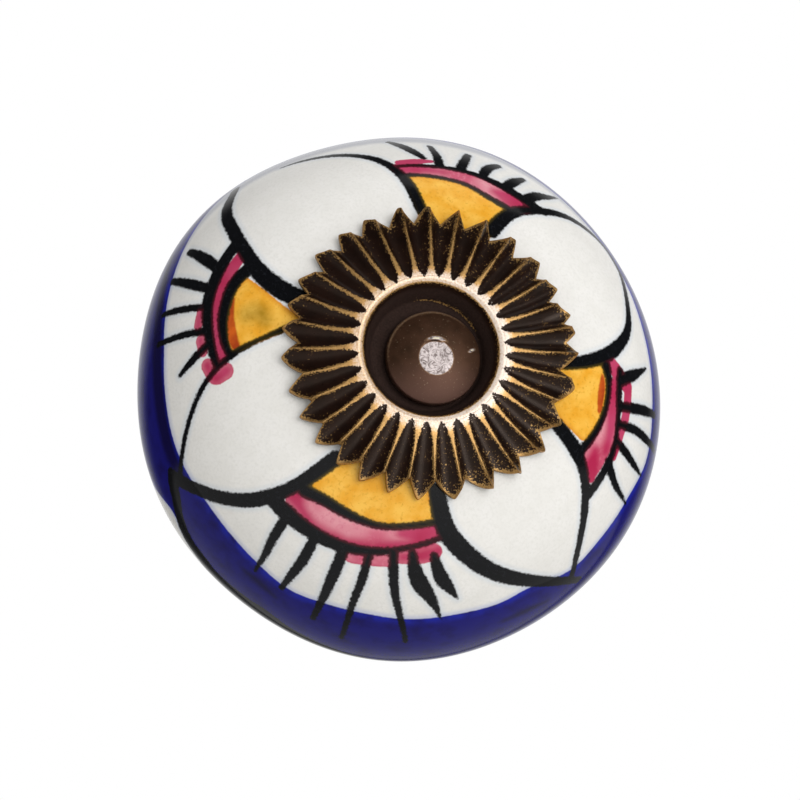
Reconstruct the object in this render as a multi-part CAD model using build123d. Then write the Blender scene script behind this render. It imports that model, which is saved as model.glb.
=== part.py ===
from build123d import *
import os
from math import acos, asin, atan2, cos, degrees, hypot, pi, radians, sin, sqrt, tan

# A painted ceramic cabinet knob. A glazed body is clamped between a pressed brass rosette and a flared
# brass collar by one long bolt, whose free end passes through the door or drawer front and takes a
# washer and a nut behind it.
#
# Millimetres. The bolt lies along Y: the front faces -Y, the collar's seat is the plane y = 0 and the
# bolt's free end runs to +Y, with +Z up. Each piece is drawn on the bolt axis as (radius, height), where
# height is the distance in front of the seat, and is turned into that frame when it is written.

# Ceramic body
knob_diameter = 40.0
front_height = 13.1  # equator to crown
crown_radius = 35.0  # the low dome of the front, before it rounds over at the shoulder
rear_height = 10.5  # equator to foot
rear_edge_radius = 7.5
foot_radius = 10.8
foot_round = 0.6
pocket_round = 0.4  # glazed edge of the pocket in the crown

# Front rosette
rosette_sheet = 0.4
tip_diameter = 22.6
tooth_count = 30
tooth_depth = 1.2
flute_count = 32
flute_depth = 0.85  # at the tips, growing from nothing at the bead
flute_nose_radius = 0.7  # the round inner end of a flute
ridge_width = 0.1  # flat left between two flutes at the tips
bead_radius = 5.25  # crest of the bright ring round the dish
bead_width = 0.3  # from the bead's crest to where the flutes begin
bead_rise = 0.06  # of the bead above the flutes
bead_lap = 0.075  # how far the skirt is carried into the bead's own sheet
bead_round = 0.35
dish_depth = 2.35  # from the bead's crest to the dish floor
dish_floor_radius = 4.3
dish_round = 0.5

# Bolt, nuts and washer
bolt_diameter = 4.0
shank_diameter = 3.5  # plain part, as thick as a rolled thread's blank
thread_length = 40.0
bolt_tail = 4.5  # thread that stands out past the panel nut
tail_chamfer = 0.5
head_diameter = 7.1
head_height = 1.6
head_edge = 0.8  # upright edge below the dome
head_flat_diameter = 2.5  # the dome is rubbed flat on top
nut_across_flats = 7.0
nut_height = 3.2
nut_bevel_angle = 30.0
washer_diameter = 12.0
washer_height = 1.0

# Base collar and the panel it clamps
collar_height = 7.0
collar_stem_radius = 6.0
collar_flare_radius = 2.7
collar_flange_radius = 10.0
collar_wall = 0.8
collar_round = 0.5
panel_height = 18.0  # thickness of the door or drawer front

# Clearances
glaze_gap = 0.12  # rosette to the glaze it lies on
pocket_gap = 0.2  # dish to the pocket round it
hole_gap = 0.3  # bolt to the plain holes in metal
body_hole_gap = 0.6  # bolt to the hole in the ceramic
thread_gap = 0.05  # bolt to a nut's bore, both at the thread's outer size
cut_margin = 1.0  # how far a cutting shape runs past what it cuts

# Heights and radii that follow
knob_radius = knob_diameter / 2
bolt_radius = bolt_diameter / 2
tip_radius = tip_diameter / 2
foot_height = collar_height
equator_height = foot_height + rear_height
crown_height = equator_height + front_height
hole_radius = bolt_radius + hole_gap

# The shoulder arc that meets the equator upright and the crown arc smoothly has one radius
shoulder_radius = (knob_radius**2 + front_height**2 - 2 * crown_radius * front_height) / (
    2 * (knob_radius - crown_radius)
)
shoulder_centre = (knob_radius - shoulder_radius, equator_height)
crown_centre = (0, crown_height - crown_radius)
shoulder_angle = atan2(shoulder_centre[1] - crown_centre[1], shoulder_centre[0])


def glaze_height(radius):
    """Height of the glazed front at a radius: on the crown arc near the bolt, on the shoulder arc outside."""
    if radius < crown_radius * cos(shoulder_angle):
        return crown_centre[1] + sqrt(crown_radius**2 - radius**2)
    return shoulder_centre[1] + sqrt(shoulder_radius**2 - (radius - shoulder_centre[0]) ** 2)


# The fluted skirt of the rosette is a cone that clears the crown's bulge between bead and tips
skirt_radius = bead_radius + bead_width
skirt_bulge = (
    glaze_height((skirt_radius + tip_radius) / 2) - (glaze_height(skirt_radius) + glaze_height(tip_radius)) / 2
)
skirt_height = glaze_height(skirt_radius) + skirt_bulge + glaze_gap + rosette_sheet
tip_height = glaze_height(tip_radius) + skirt_bulge + glaze_gap + rosette_sheet
bead_height = skirt_height + bead_rise
dish_floor_height = bead_height - dish_depth
pocket_height = dish_floor_height - rosette_sheet

lock_nut_height = collar_height - collar_wall - nut_height
washer_base = -panel_height - washer_height
panel_nut_height = washer_base - nut_height
bolt_end = panel_nut_height - bolt_tail


def turned(*edges):
    """Solid of revolution about the bolt axis, from an outline drawn as (radius, height)."""
    return revolve(Plane.XZ * make_face(edges), Axis.Z)


def arc(centre, radius, start, end):
    """Arc about a centre between two directions in radians."""
    return CenterArc(centre, radius, degrees(start), degrees(end - start))


def ceramic_body():
    """Glazed body: crown, shoulder, rear edge and a straight rear cone to the foot, with pocket and hole."""
    rear_centre = (knob_radius - rear_edge_radius, equator_height)
    to_foot = (foot_radius - rear_centre[0], foot_height - rear_centre[1])
    rear_angle = atan2(to_foot[1], to_foot[0]) + acos(rear_edge_radius / hypot(*to_foot))
    rear_arc = arc(rear_centre, rear_edge_radius, rear_angle, 0)

    mouth_radius = bead_radius + pocket_gap
    mouth_angle = acos(mouth_radius / crown_radius)
    mouth = (mouth_radius, glaze_height(mouth_radius))
    pocket_floor_radius = dish_floor_radius + rosette_sheet + pocket_gap
    body_hole_radius = bolt_radius + body_hole_gap

    body = turned(
        Polyline((body_hole_radius, foot_height), (foot_radius, foot_height), rear_arc @ 0),
        rear_arc,
        arc(shoulder_centre, shoulder_radius, 0, shoulder_angle),
        arc(crown_centre, crown_radius, shoulder_angle, mouth_angle),
        Polyline(
            mouth,
            (pocket_floor_radius, pocket_height),
            (body_hole_radius, pocket_height),
            (body_hole_radius, foot_height),
        ),
    )
    rims = body.edges().filter_by(GeomType.CIRCLE)
    body = fillet(rims.group_by(Axis.Z)[-1], pocket_round)
    foot_rim = body.edges().filter_by(GeomType.CIRCLE).group_by(Axis.Z)[0].sort_by(SortBy.RADIUS)[-1]
    return fillet(foot_rim, foot_round)


def fluted_skirt():
    """Pressed cone of the rosette: the same fluted solid taken away from itself one sheet lower."""
    fall = (tip_height - skirt_height) / (tip_radius - skirt_radius)
    flute_line = Vector(1, 0, fall).normalized()
    ridge_fall = fall + flute_depth / (tip_radius - skirt_radius)

    # A flute is a cone lying on its lower edge, as wide at the tips as the pitch leaves between two ridges
    half_chord = tip_radius * tan(pi / flute_count) - ridge_width / 2
    tip_flute_radius = (half_chord**2 + flute_depth**2) / (2 * flute_depth)
    flute_run = hypot(tip_radius - skirt_radius, tip_height - skirt_height)
    taper = (tip_flute_radius - flute_nose_radius) / flute_run
    cone_axis = flute_line.rotate(Axis.Y, -degrees(asin(taper)))
    cone_up = Vector(-cone_axis.Z, 0, cone_axis.X)
    flute_start = Vector(skirt_radius, 0, skirt_height) + cone_up * flute_nose_radius
    length = flute_run + 2 * cut_margin
    slope = tan(asin(taper))
    flute = Plane(flute_start, x_dir=(0, 1, 0), z_dir=cone_axis) * Cone(
        flute_nose_radius, flute_nose_radius + slope * length, length, align=(Align.CENTER, Align.CENTER, Align.MIN)
    )
    # The ridge between the first and the last flute points straight up
    flutes = [Rot(0, 0, 90 + (turn + 0.5) * 360 / flute_count) * flute for turn in range(flute_count)]

    def fluted_blank(inner, outer, depth):
        """Ring of brass whose top falls from the bead to the tips, with every flute cut into it."""
        top = [(radius, skirt_height + ridge_fall * (radius - skirt_radius)) for radius in (inner, outer)]
        foot = tip_height - depth
        ring = turned(Polyline((inner, foot), (outer, foot), top[1], top[0], close=True))
        return ring - flutes

    # The inner end lies inside the bead's own sheet, and the outer end is left for the serrated edge to trim
    inner = skirt_radius - bead_lap
    outer = tip_radius + cut_margin
    upper = fluted_blank(inner, outer, cut_margin)
    lower = fluted_blank(inner - cut_margin, outer + cut_margin, 2 * cut_margin)
    return upper - Pos(0, 0, -rosette_sheet) * lower


def front_rosette():
    """Pressed brass rosette: a dish that takes the bolt head, a bead round it, and the fluted skirt."""
    middle = rosette_sheet / 2
    section = FilletPolyline(
        (hole_radius, dish_floor_height - middle),
        (dish_floor_radius, dish_floor_height - middle),
        (bead_radius, bead_height - middle),
        (skirt_radius, skirt_height - middle),
        radius=(dish_round, bead_round),
    )
    dish = revolve(Plane.XZ * trace(section, rosette_sheet), Axis.Z)

    # The first tooth points straight up
    corners = []
    for step, radius in enumerate([tip_radius, tip_radius - tooth_depth] * tooth_count):
        angle = pi / 2 + pi / tooth_count * step
        corners.append((radius * cos(angle), radius * sin(angle)))
    serrated = Pos(0, 0, equator_height) * make_face(Polyline(*corners, close=True))
    return dish + (fluted_skirt() & extrude(serrated, bead_height - equator_height + flute_depth))


def through_bolt():
    """Bolt with a low domed head rubbed flat on top, a plain shank and a thread drawn at its outer size."""
    head_radius, flat_radius = head_diameter / 2, head_flat_diameter / 2
    dome_rise = head_height - head_edge
    dome_below = (head_radius**2 - flat_radius**2 - dome_rise**2) / (2 * dome_rise)
    dome_centre = (0, dish_floor_height + head_edge - dome_below)
    dome_radius = hypot(head_radius, dome_below)
    dome_start = atan2(dome_below, head_radius)
    dome_end = atan2(dome_below + dome_rise, flat_radius)

    shank_radius = shank_diameter / 2
    thread_top = bolt_end + thread_length
    top = dish_floor_height + head_height
    return turned(
        Polyline(
            (0, top),
            (0, bolt_end),
            (bolt_radius - tail_chamfer, bolt_end),
            (bolt_radius, bolt_end + tail_chamfer),
            (bolt_radius, thread_top),
            (shank_radius, thread_top + bolt_radius - shank_radius),
            (shank_radius, dish_floor_height),
            (head_radius, dish_floor_height),
            (head_radius, dish_floor_height + head_edge),
        ),
        arc(dome_centre, dome_radius, dome_start, dome_end),
        Line((flat_radius, top), (0, top)),
    )


def base_collar():
    """Flared collar of one wall thickness: a web under the foot, a stem, and a flange that seats on the panel."""
    flare_centre_radius = collar_stem_radius + collar_flare_radius
    flare_top = collar_wall + collar_flare_radius
    inner_stem = collar_stem_radius - collar_wall
    web = collar_height - collar_wall
    outside_flare = arc((flare_centre_radius, flare_top), collar_flare_radius, pi, 1.5 * pi)
    inside_flare = arc((flare_centre_radius, flare_top), collar_flare_radius + collar_wall, 1.5 * pi, pi)
    collar = turned(
        Polyline((inner_stem, flare_top), (inner_stem, web), (hole_radius, web), (hole_radius, collar_height)),
        Polyline((hole_radius, collar_height), (collar_stem_radius, collar_height), outside_flare @ 0),
        outside_flare,
        Polyline(
            outside_flare @ 1,
            (collar_flange_radius, collar_wall),
            (collar_flange_radius, 0),
            inside_flare @ 0,
        ),
        inside_flare,
    )
    top_rim = collar.edges().filter_by(GeomType.CIRCLE).group_by(Axis.Z)[-1].sort_by(SortBy.RADIUS)[-1]
    return fillet(top_rim, collar_round)


def hex_nut(base):
    """Hexagon nut with the corners of both faces bevelled, standing at a height."""
    face = nut_across_flats / 2
    corner = face / cos(pi / 6)
    bevel = (corner - face) * tan(radians(nut_bevel_angle))
    bore = bolt_radius + thread_gap
    prism = extrude(RegularPolygon(face, 6, major_radius=False), nut_height)
    bevelled = turned(
        Polyline(
            (bore, 0),
            (face, 0),
            (corner, bevel),
            (corner, nut_height - bevel),
            (face, nut_height),
            (bore, nut_height),
            close=True,
        )
    )
    return Pos(0, 0, base) * (prism & bevelled)


def panel_washer():
    """Flat washer behind the panel."""
    outside, inside = washer_diameter / 2, hole_radius
    return turned(
        Polyline(
            (inside, washer_base),
            (outside, washer_base),
            (outside, washer_base + washer_height),
            (inside, washer_base + washer_height),
            close=True,
        )
    )


pieces = {
    "ceramic_body": ceramic_body(),
    "front_rosette": front_rosette(),
    "through_bolt": through_bolt(),
    "base_collar": base_collar(),
    "lock_nut": hex_nut(lock_nut_height),
    "panel_washer": panel_washer(),
    "panel_nut": hex_nut(panel_nut_height),
}

os.makedirs("parts", exist_ok=True)
for name, piece in pieces.items():
    facing_front = Rot(90, 0, 0) * piece
    facing_front.label = name
    export_step(facing_front, f"parts/{name}.step")
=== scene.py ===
from math import acos, atan2, cos, hypot, pi, radians, sin, tan

import bmesh
import bpy
import numpy as np
from mathutils import Matrix, Vector


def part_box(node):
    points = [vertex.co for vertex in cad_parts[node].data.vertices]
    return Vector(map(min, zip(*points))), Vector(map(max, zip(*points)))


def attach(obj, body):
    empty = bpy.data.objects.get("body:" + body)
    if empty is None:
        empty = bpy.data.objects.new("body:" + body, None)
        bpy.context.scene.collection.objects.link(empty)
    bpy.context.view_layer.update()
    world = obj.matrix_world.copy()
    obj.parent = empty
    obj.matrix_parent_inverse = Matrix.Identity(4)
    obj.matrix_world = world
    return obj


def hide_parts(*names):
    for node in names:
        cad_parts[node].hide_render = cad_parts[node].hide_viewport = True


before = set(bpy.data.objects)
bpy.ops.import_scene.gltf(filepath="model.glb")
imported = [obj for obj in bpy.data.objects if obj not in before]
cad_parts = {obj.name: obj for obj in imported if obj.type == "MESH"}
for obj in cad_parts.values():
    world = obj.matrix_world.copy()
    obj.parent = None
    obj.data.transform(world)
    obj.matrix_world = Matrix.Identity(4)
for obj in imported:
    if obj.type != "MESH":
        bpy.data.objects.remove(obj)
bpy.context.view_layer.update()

# A painted ceramic cabinet knob: a glazed body, a pressed brass rosette, a bronzed bolt, a brass collar, two
# nuts and a washer. Shapes are worked out in millimetres as (radius, height) about the bolt axis, where
# height is the distance in front of the panel: x = radius cos(angle), y = -height, z = radius sin(angle).

MM = 0.001
FULL_TURN = 2 * pi
# Distance in millimetres at which a painted layer no longer shows
FAR = 9.0


# Sizes in millimetres: the outer ones are read from the CAD parts, and the others are named here

def reach(node):
    """How far a CAD node reaches right and up, and its lowest and highest height in front of the panel."""
    low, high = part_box(node)
    return high.x / MM, high.z / MM, -high.y / MM, -low.y / MM


knob_radius, _, foot_height, _ = reach("ceramic_body")
_, tip_radius, rosette_base, _ = reach("front_rosette")
head_radius, _, bolt_end, head_top = reach("through_bolt")
collar_flange_radius, _, _, collar_height = reach("base_collar")
nut_corner, nut_face, lock_nut_base, lock_nut_top = reach("lock_nut")
_, _, panel_nut_base, panel_nut_top = reach("panel_nut")
washer_radius, _, washer_base, washer_top = reach("panel_washer")

# Body
front_height = 13.1
crown_radius = 35.0
rear_height = 10.5
rear_edge_radius = 7.5
foot_radius = 10.8
foot_round = 0.6
pocket_mouth_radius = 5.45
pocket_floor_radius = 4.9
body_hole_radius = 2.6
# Waves of the rim, as cosine and sine shares of one, two and more waves a turn
out_of_round = [(0.02, -0.12), (-0.03, -0.05), (0, 0.055), (0, -0.09), (0.08, -0.065), (-0.045, 0.05)]
equator_height = foot_height + rear_height
crown_height = equator_height + front_height
shoulder_radius = (knob_radius**2 + front_height**2 - 2 * crown_radius * front_height) / (
    2 * (knob_radius - crown_radius)
)
shoulder_centre = (knob_radius - shoulder_radius, equator_height)
crown_centre = (0.0, crown_height - crown_radius)
shoulder_angle = atan2(shoulder_centre[1] - crown_centre[1], shoulder_centre[0])

# Rosette
sheet = 0.4
tooth_depth = 1.2
flute_count = 32
flute_depth = 0.85
flute_nose_radius = 0.7
ridge_width = 0.1
bead_radius = 5.25
bead_width = 0.3
bead_rise = 0.06
bead_round = 0.35
dish_depth = 2.35
dish_floor_radius = 4.3
dish_round = 0.5
rosette_hole_radius = 2.3
# Where the dark points of the flutes start
lancet_radius = 5.4
# How far the rosette, and then its dish, lies off the bolt axis
rosette_shift = (-0.09, 0, 0.175)
dish_shift = (0, 0, 0.17)
dish_floor_height = rosette_base + sheet
bead_height = dish_floor_height + dish_depth
skirt_radius = bead_radius + bead_width
skirt_height = bead_height - bead_rise

# Bolt
bolt_radius = 2.0
shank_radius = 1.75
thread_length = 40.0
thread_pitch = 0.7
thread_depth = 0.43
head_edge = 0.8
head_edge_round = 0.3
head_flat_radius = 1.25
# How far the head lies off the bolt axis
head_shift = (0.33, 0, 0.06)
tail_chamfer = 0.5

# Collar, nuts and washer
collar_stem_radius = 6.0
collar_flare_radius = 2.7
collar_wall = 0.8
collar_hole_radius = 2.3
collar_round = 0.5
nut_bevel_angle = radians(30)
nut_bore_radius = 2.05
washer_hole_radius = 2.3
fine_round = 0.12
fine_step = 0.05


def glaze_height(radius):
    """Height of the glazed front at a radius: the crown arc near the bolt, the shoulder arc outside it."""
    on_crown = crown_centre[1] + np.sqrt(np.maximum(crown_radius**2 - radius**2, 0))
    on_shoulder = shoulder_centre[1] + np.sqrt(
        np.maximum(shoulder_radius**2 - (radius - shoulder_centre[0]) ** 2, 0)
    )
    return np.where(radius < crown_radius * cos(shoulder_angle), on_crown, on_shoulder)


# Curves of one value

def ramp(value, start, end):
    """0 at the start, 1 at the end, straight between them and level beyond them."""
    return np.clip((value - start) / (end - start), 0, 1)


def bell(value, middle, width, power=2):
    """Bell curve: 1 at the middle, falling away on both sides over a width."""
    return np.exp(-(((value - middle) / width) ** power))


def turn_from(angle, start):
    """Signed turn from a direction to an angle, half a turn at most."""
    return (angle - start + pi) % FULL_TURN - pi


# Profiles and meshes

def arc(centre, radius, start, end, steps):
    """Points of an arc about a centre, from one direction to another in radians."""
    turn = np.linspace(start, end, steps)
    return np.stack([centre[0] + radius * np.cos(turn), centre[1] + radius * np.sin(turn)], axis=1)


def run(start, end, steps):
    """Points of a straight run, without its two ends."""
    share = np.linspace(0, 1, steps + 2)[1:-1, None]
    return np.array(start) * (1 - share) + np.array(end) * share


def rounded(corners, steps=5):
    """Profile through corners (radius, height, rounding): a rounded corner is the arc that touches both its
    sides, with a point held just before and after it so that flat faces shade flat."""
    corners = np.array(corners, float)
    places = corners[:, :2]
    hold = 1.3
    parts = []
    for k, size in enumerate(corners[:, 2]):
        here = places[k]
        if size == 0:
            parts.append(here[None])
            continue
        to_last = places[k - 1] - here
        to_next = places[(k + 1) % len(places)] - here
        last_length = np.linalg.norm(to_last)
        next_length = np.linalg.norm(to_next)
        to_last /= last_length
        to_next /= next_length
        half = acos(to_last @ to_next) / 2
        middle = (to_last + to_next) / np.linalg.norm(to_last + to_next)
        centre = here + middle * size / sin(half)
        touch = size / tan(half)
        first = here + to_last * touch - centre
        last = here + to_next * touch - centre
        start = atan2(first[1], first[0])
        sweep = turn_from(atan2(last[1], last[0]), start)
        parts += [
            [here + to_last * min(hold * touch, (touch + last_length) / 2)],
            arc(centre, size, start, start + sweep, steps),
            [here + to_next * min(hold * touch, (touch + next_length) / 2)],
        ]
    return np.vstack(parts)


def angles(columns):
    """Directions of the columns of a grid, as a row."""
    return np.linspace(0, FULL_TURN, columns, endpoint=False)[None]


def around(radius, height, angle):
    """Grid of points: each (radius, height) of a row carried round the bolt axis."""
    radius, height, angle = np.broadcast_arrays(radius, height, angle)
    return np.stack([radius * np.cos(angle), -height, radius * np.sin(angle)], axis=2)


def turned(profile, columns):
    """Surface of revolution: a profile of (radius, height) carried round the bolt axis."""
    return around(profile[:, :1], profile[:, 1:], angles(columns))


def add_piece(name, grid, material, node, loop=False, layers=None, crease=40):
    """Mesh of a grid of points in millimetres (rows, columns, xyz), closed round its columns, and round its
    rows where the profile is a loop. Its faces are turned outwards by the sign of the volume that they
    enclose. Where the profile is no loop, the rows that shrink to a point on the axis are merged."""
    same_point = 1e-4 * MM
    rows, columns = grid.shape[:2]
    points = grid.reshape(-1, 3) * MM
    row = np.arange(rows if loop else rows - 1)[:, None] * columns
    next_row = (row + columns) % (rows * columns)
    column = np.arange(columns)[None]
    next_column = (column + 1) % columns
    corners = [row + column, next_row + column, next_row + next_column, row + next_column]
    faces = np.stack(corners, axis=2).reshape(-1, 4)
    a, b, c, d = (points[faces[:, k]] for k in range(4))
    volume = (np.cross(a, b) * c).sum() + (np.cross(a, c) * d).sum()
    if volume < 0:
        faces = faces[:, ::-1]
    mesh = bpy.data.meshes.new(name)
    mesh.vertices.add(len(points))
    mesh.vertices.foreach_set("co", points.astype(np.float32).ravel())
    mesh.loops.add(faces.size)
    mesh.loops.foreach_set("vertex_index", faces.astype(np.int32).ravel())
    mesh.polygons.add(len(faces))
    mesh.polygons.foreach_set("loop_start", np.arange(0, faces.size, 4, dtype=np.int32))
    mesh.update(calc_edges=True)
    for layer, values in (layers or {}).items():
        attribute = mesh.attributes.new(layer, "FLOAT", "POINT")
        attribute.data.foreach_set("value", values.astype(np.float32).ravel())
    if not loop:
        work = bmesh.new()
        work.from_mesh(mesh)
        bmesh.ops.remove_doubles(work, verts=work.verts, dist=same_point)
        work.to_mesh(mesh)
        work.free()
    mesh.validate()
    mesh.polygons.foreach_set("use_smooth", np.ones(len(mesh.polygons), bool))
    mesh.set_sharp_from_angle(angle=radians(crease))
    mesh.materials.append(material)
    piece = bpy.data.objects.new(name, mesh)
    bpy.context.scene.collection.objects.link(piece)
    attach(piece, "root")
    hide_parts(node)


# Materials

def linear(hex_colour):
    """An sRGB hex colour as linear red, green and blue, with an alpha of 1."""
    srgb = np.array([int(hex_colour[k:k + 2], 16) for k in (1, 3, 5)]) / 255
    value = np.where(srgb <= 0.04045, srgb / 12.92, ((srgb + 0.055) / 1.055) ** 2.4)
    return (*value.tolist(), 1.0)


def per_mm(size):
    """Noise scale that gives features of a size in millimetres."""
    return 1 / (size * MM)


def feed(tree, node, inputs):
    """Gives a node its inputs: a socket is linked, a hex colour is set as linear, another value as it is."""
    for key, value in inputs.items():
        if isinstance(value, bpy.types.NodeSocket):
            tree.links.new(value, node.inputs[key])
        else:
            node.inputs[key].default_value = linear(value) if isinstance(value, str) else value


def add(tree, kind, inputs, out=0, **settings):
    """Adds one shader node of a kind with its settings and its inputs, and returns one of its outputs."""
    node = tree.nodes.new("ShaderNode" + kind)
    for setting, value in settings.items():
        setattr(node, setting, value)
    feed(tree, node, inputs)
    return node.outputs[out]


def coated(tree, ground, *coats):
    """A ground colour with coats over it. Each coat is its colour, the pattern it follows, and the pattern's
    values at which it starts to show and at which it covers, where these aren't 0 and 1. A coat that stays
    thin covers at a value that its pattern never reaches."""
    colour = ground
    for coat, share, *limits in coats:
        if limits:
            starts, covers = limits
            share = add(tree, "MapRange", {"Value": share, "From Min": starts, "From Max": covers})
        colour = add(tree, "Mix", {0: share, 6: colour, 7: coat}, 2, data_type="RGBA")
    return colour


def start_material(name):
    """A new material, its node tree and its shader."""
    material = bpy.data.materials.new(name)
    material.use_nodes = True
    tree = material.node_tree
    return material, tree, tree.nodes["Principled BSDF"]


def painted_earthenware():
    """Slip-cast earthenware, brush-painted in oxide colours under a clear glaze. The colours pool dark where
    the brush stopped and thin out pale, their edges are ragged with the grain of the biscuit, and the glaze
    over them is smooth and wet-looking, with a faint ripple. The foot is left bare and matt."""
    material, tree, shader = start_material("brush_painted_glazed_earthenware")
    place = add(tree, "TexCoord", {}, "Object")
    grain, cloud, wash, ripple = (
        add(tree, "TexNoise", {"Vector": place, "Scale": per_mm(size), "Detail": detail})
        for size, detail in ((0.22, 3), (1.3, 3), (3.5, 2), (1.1, 1))
    )

    def depth(layer, far, near, ragged=0):
        """0 to 1 as the signed distance to a painted layer goes from far to near, in millimetres. The grain
        pushes a ragged edge about."""
        distance = add(tree, "Attribute", {}, "Fac", attribute_name=layer)
        if ragged:
            distance = add(tree, "Math", {0: grain, 1: ragged, 2: distance}, operation="MULTIPLY_ADD")
        limits = {"Value": distance, "From Min": far, "From Max": near}
        return add(tree, "MapRange", limits, interpolation_type="SMOOTHSTEP")

    def covered(layer, soft, ragged):
        """How much a painted layer covers: its edge, ragged with the grain and cut softly."""
        return depth(layer, ragged / 2 + soft, ragged / 2 - soft, ragged)

    # Glaze with a grey halo beside the ink, a blue bleed beside the cobalt and a milky painted reflection
    # along the top
    halo, bleed, painted_reflection = 0.45, 0.5, 0.8
    white = coated(
        tree,
        "#F1EFEB",
        ("#ECEAE5", cloud, 0.3, 0.7),
        ("#E7E5E0", grain, 0.45, 0.75),
        ("#C9D3DE", depth("ink", 0.55, 0), 0, 1 / halo),
        ("#9DA8D6", depth("cobalt", 0.6, 0), 0, 1 / bleed),
        # Painted reflection: milky grey along the top of the rim
        ("#A6A9B6", depth("wash", 0.5, -0.7), 0, 1 / painted_reflection),
    )
    smudged = add(tree, "Math", {0: depth("smudge", 0.9, -0.4), 1: cloud}, operation="MULTIPLY")
    ochre = coated(
        tree,
        "#FAC353",
        ("#EFA92F", cloud, 0.35, 0.65),
        ("#E2912A", depth("ochre", -0.45, 0.05)),
        ("#DC9A2C", grain, 0.55, 0.8),
        ("#7A6A1C", smudged),
    )
    amber = coated(tree, "#D2611F", ("#A8401B", cloud, 0.35, 0.65))
    crimson = coated(tree, "#C04468", ("#B3284F", wash, 0.4, 0.62))
    rose = coated(
        tree,
        "#E39AA4",
        ("#CB5673", wash, 0.4, 0.62),
        ("#D87C90", grain, 0.5, 0.75),
        (crimson, depth("crimson", 0.75, -0.15)),
        ("#C04565", depth("rose", -0.2, 0.06)),
    )
    cobalt = coated(
        tree,
        "#1B249C",
        ("#191670", depth("cobalt", -0.1, -0.9)),
        ("#150F58", cloud, 0.45, 0.75),
        ("#110C40", depth("smudge", 0.5, -0.3)),
        # Painted shade: the cobalt darkens behind the equator, on the underside of the rim
        ("#100D36", depth("travel", 0, -2)),
    )
    # Thin ink at the edge of a stroke lets the colour under it through
    ink = coated(tree, "#0D0E11", ("#1D1F24", grain, 0.55, 0.8))
    thin = depth("ink", -0.32, -0.02)
    for layer, stain in (("ochre", "#453A16"), ("rose", "#4A1620")):
        stained = add(tree, "Math", {0: thin, 1: covered(layer, 0.2, 0.14)}, operation="MULTIPLY")
        ink = coated(tree, ink, (stain, stained))
    painted = coated(
        tree,
        white,
        (ochre, covered("ochre", 0.07, 0.14)),
        (amber, covered("amber", 0.1, 0.16)),
        (rose, covered("rose", 0.06, 0.12)),
        (cobalt, covered("cobalt", 0.07, 0.1)),
        (ink, covered("ink", 0.09, 0.28)),
    )

    along = add(tree, "SeparateXYZ", {"Vector": place}, "Y")
    glaze_end = -(foot_height + foot_round / 2) * MM
    fade = 0.1 * MM
    limits = {"Value": along, "From Min": glaze_end - fade, "From Max": glaze_end + fade}
    bare = add(tree, "MapRange", limits)
    biscuit = coated(tree, "#CDBB9F", ("#BDA98B", grain, 0.3, 0.7))
    shine = {"Value": covered("cobalt", 0.1, 0.1), "To Min": 0.24, "To Max": 0.12}
    surface = {
        "Base Color": coated(tree, painted, (biscuit, bare)),
        "Roughness": add(tree, "MapRange", {"Value": bare, "To Min": 0.13, "To Max": 0.85}),
        "Specular IOR Level": add(tree, "MapRange", shine),
        "Normal": add(tree, "Bump", {"Height": ripple, "Strength": 0.12, "Distance": 0.05 * MM}),
    }
    feed(tree, shader, surface)
    return material


def lacquered_brass():
    """Pressed brass sheet, blackened and lacquered, then rubbed back: the bead, the ridges and the cut edges
    are bright brass with specks of lacquer left in the pores, and the hollows stay near black and half
    glossy. Dull grime lies in the dish. A painted highlight turns the brass near white and less metallic
    on the bead's lip and the roots of the ridges beside it, and faintly on the collar's rubbed edges."""
    material, tree, shader = start_material("blackened_brass_rubbed_back")
    place = add(tree, "TexCoord", {}, "Object")
    pores, patch = (
        add(tree, "TexNoise", {"Vector": place, "Scale": per_mm(size), "Detail": detail})
        for size, detail in ((0.13, 3), (1.1, 2))
    )
    wear, painted_highlight, grime = (
        add(tree, "Attribute", {}, "Fac", attribute_name=layer)
        for layer in ("wear", "painted_highlight", "grime")
    )
    speckled = add(tree, "Math", {0: pores, 1: 1.5, 2: wear}, operation="MULTIPLY_ADD")
    patched = add(tree, "Math", {0: patch, 1: 0.5, 2: speckled}, operation="MULTIPLY_ADD")
    limits = {"Value": patched, "From Min": 1.4, "From Max": 1.65}
    rubbed = add(tree, "MapRange", limits, interpolation_type="SMOOTHSTEP")

    dusty = 0.6
    dust = coated(tree, "#1A110F", ("#4A3833", pores))
    lacquer = coated(tree, "#060302", ("#24110A", patch), (dust, grime, 0, 1 / dusty))
    # Painted highlight: where it lies, the brass turns pale to near white and less metallic
    shown = add(tree, "Math", {0: pores, 1: 1.4, 2: 0.2}, operation="MULTIPLY_ADD")
    shown = add(tree, "Math", {0: shown, 1: painted_highlight}, operation="MULTIPLY", use_clamp=True)
    brass = coated(
        tree, "#6A4520", ("#CFA668", pores), ("#CD9F62", shown, 0, 0.4), ("#F4E4D6", shown, 0.35, 0.9)
    )
    metal_under_highlight = add(tree, "MapRange", {"Value": painted_highlight, "To Min": 0.6, "To Max": 0.15})
    gloss = add(tree, "MapRange", {"Value": pores, "To Min": 0.22, "To Max": 0.42})
    surface = {
        "Base Color": coated(tree, lacquer, (brass, rubbed)),
        "Metallic": add(tree, "Math", {0: rubbed, 1: metal_under_highlight}, operation="MULTIPLY"),
        "Roughness": add(tree, "Mix", {0: grime, 2: gloss, 3: 0.8}, data_type="FLOAT"),
        "Specular Tint": "#FFE8D8",
        "Specular IOR Level": add(tree, "MapRange", {"Value": grime, "To Min": 0.3, "To Max": 0.2}),
        "Normal": add(tree, "Bump", {"Height": pores, "Strength": 0.3, "Distance": 0.03 * MM}),
    }
    feed(tree, shader, surface)
    return material


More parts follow.
